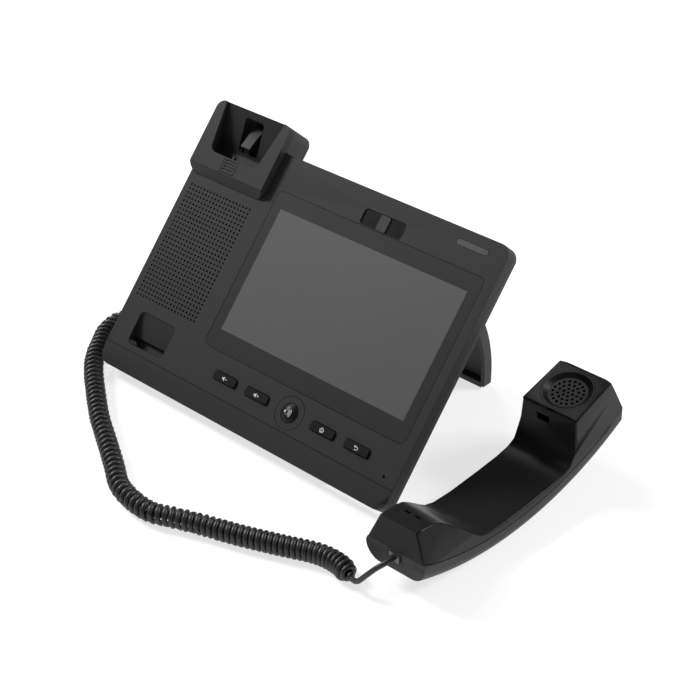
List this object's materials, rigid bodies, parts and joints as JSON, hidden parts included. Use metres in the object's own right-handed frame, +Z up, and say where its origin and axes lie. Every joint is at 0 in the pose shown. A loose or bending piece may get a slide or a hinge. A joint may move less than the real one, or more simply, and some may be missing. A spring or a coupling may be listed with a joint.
{
  "type": "desk ip phone",
  "caption": "Desk video phone with a touch screen leaning on a curved stand, a handset cradle, function keys and a handset on a coiled cord.",
  "frame": {"origin": "middle of the front rubber foot's underside, on the desk", "axes": "+Z up from the desk, -Y towards the user in front of the screen, +X to the user's right"},
  "size_m": [0.3539, 0.2577, 0.1575],
  "materials": {
    "charcoal_plastic": "fine moulded texture, satin",
    "graphite_plastic": "fine moulded texture",
    "black_plastic": "smooth matte",
    "key_plastic": "smooth satin",
    "screen_glass": "hard coated, soft gloss",
    "window_tint": "smoked, glossy",
    "light_diffuser": "smoked diffuser",
    "rubber": "matte",
    "steel": "zinc plated",
    "circuit_board": "solder mask",
    "cord_jacket": "smooth soft sheath",
    "plug_plastic": "clear moulding",
    "speaker_cone": "pressed paper cone"
  },
  "bodies": {
    "base": {"front_shell": "charcoal_plastic", "rear_cover": "graphite_plastic", "rear_screws": "steel", "front_foot": "rubber", "touch_panel": "screen_glass", "panel_tape": "black_plastic", "display_module": "steel", "display_bracket": "steel", "main_board": "circuit_board", "lan_socket": "black_plastic", "pc_socket": "black_plastic", "power_socket": "black_plastic", "handset_port": "black_plastic", "loudspeaker": "speaker_cone", "speaker_gasket": "rubber", "base_microphone": "steel", "cradle_cup": "charcoal_plastic", "hook_lever_pin": "steel", "hook_switch": "black_plastic", "speaker_key_ring": "charcoal_plastic", "key_mat": "rubber", "key_board": "circuit_board", "camera_window": "window_tint", "camera_module": "black_plastic", "status_light": "light_diffuser", "stand_hinge_pins": "steel", "base_plug": "plug_plastic", "base_tail": "cord_jacket", "cord_coil": "cord_jacket"},
    "stand": {"stand": "graphite_plastic", "stand_pads": "rubber"},
    "hook_lever": {"hook_lever": "charcoal_plastic"},
    "hook_clip": {"hook_clip": "charcoal_plastic"},
    "volume_down_key": {"volume_down_key": "key_plastic"},
    "volume_up_key": {"volume_up_key": "key_plastic"},
    "speaker_key": {"speaker_key": "key_plastic"},
    "home_key": {"home_key": "key_plastic"},
    "back_key": {"back_key": "key_plastic"},
    "camera_shutter": {"camera_shutter": "graphite_plastic"},
    "handset": {"handset_front_shell": "charcoal_plastic", "handset_back_shell": "graphite_plastic", "ear_grille": "black_plastic", "ear_speaker": "speaker_cone", "mouth_microphone": "steel", "handset_weight": "steel", "handset_socket": "black_plastic", "handset_screws": "steel", "handset_plug": "plug_plastic", "handset_tail": "cord_jacket"}
  },
  "joints": [
    {"name": "volume_down_press", "type": "slide", "parent": "base", "child": "volume_down_key", "axis": [0, 0.749, -0.6626], "range_m": [0, 0.0008], "stiffness_N_per_m": 900, "springref_m": -0.0008},
    {"name": "volume_up_press", "type": "slide", "parent": "base", "child": "volume_up_key", "axis": [0, 0.749, -0.6626], "range_m": [0, 0.0008], "stiffness_N_per_m": 900, "springref_m": -0.0008},
    {"name": "speaker_press", "type": "slide", "parent": "base", "child": "speaker_key", "axis": [0, 0.749, -0.6626], "range_m": [0, 0.0008], "stiffness_N_per_m": 900, "springref_m": -0.0008},
    {"name": "home_press", "type": "slide", "parent": "base", "child": "home_key", "axis": [0, 0.749, -0.6626], "range_m": [0, 0.0008], "stiffness_N_per_m": 900, "springref_m": -0.0008},
    {"name": "back_press", "type": "slide", "parent": "base", "child": "back_key", "axis": [0, 0.749, -0.6626], "range_m": [0, 0.0008], "stiffness_N_per_m": 900, "springref_m": -0.0008},
    {"name": "shutter_slide", "type": "slide", "parent": "base", "child": "camera_shutter", "axis": [1, 0, 0], "range_m": [0, 0.009]},
    {"name": "hook_lever_turn", "type": "hinge", "parent": "base", "child": "hook_lever", "pos_m": [-0.093, 0.11285, 0.14175], "axis": [1, 0, 0], "range_deg": [0, 18], "stiffness_Nm_per_rad": 0.05, "springref_deg": -17.19},
    {"name": "hook_clip_slide", "type": "slide", "parent": "base", "child": "hook_clip", "axis": [0, 0.6626, 0.749], "range_m": [0, 0.009]},
    {"name": "stand_fold", "type": "hinge", "parent": "base", "child": "stand", "pos_m": [0, 0.08692, 0.10007], "axis": [1, 0, 0], "range_deg": [-66, 0]},
    {"name": "handset_lift", "type": "slide", "parent": "base", "child": "handset", "axis": [0, 0, 1], "range_m": [0, 0.12]}
  ]
}
